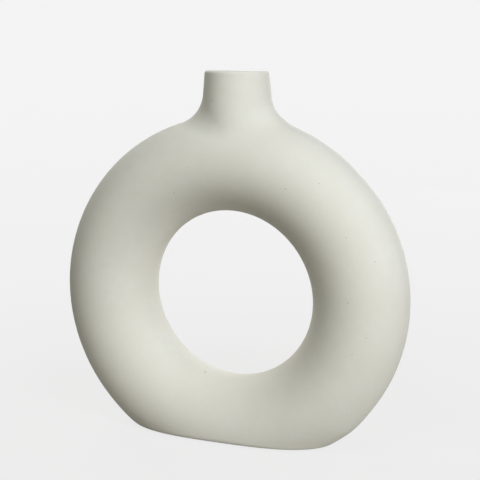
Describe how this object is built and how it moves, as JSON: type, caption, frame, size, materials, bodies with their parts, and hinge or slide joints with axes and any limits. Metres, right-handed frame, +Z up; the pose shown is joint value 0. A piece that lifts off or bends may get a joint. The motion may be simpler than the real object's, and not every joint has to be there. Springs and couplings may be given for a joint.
{
  "type": "donut vase",
  "caption": "Upright ring-shaped ceramic vase: a hollow round tube bent into a hoop with an open middle, a flat base and a short flared neck that takes stems.",
  "frame": {"origin": "centre of the resting plane, under the ring's centre", "axes": "+Z up along the neck, +X to the right along the ring's width seen from the front, the front faces -Y"},
  "size_m": [0.236, 0.0616, 0.2415],
  "materials": {
    "bisque": "matt unglazed off-white with fine grain and a few pinholes",
    "glaze": "clear gloss over off-white",
    "felt": "pressed felt"
  },
  "bodies": {
    "root": {"front_shell": "bisque", "back_shell": "bisque", "flared_neck": "bisque", "glaze_lining": "glaze", "felt_pads": "felt"}
  },
  "joints": []
}
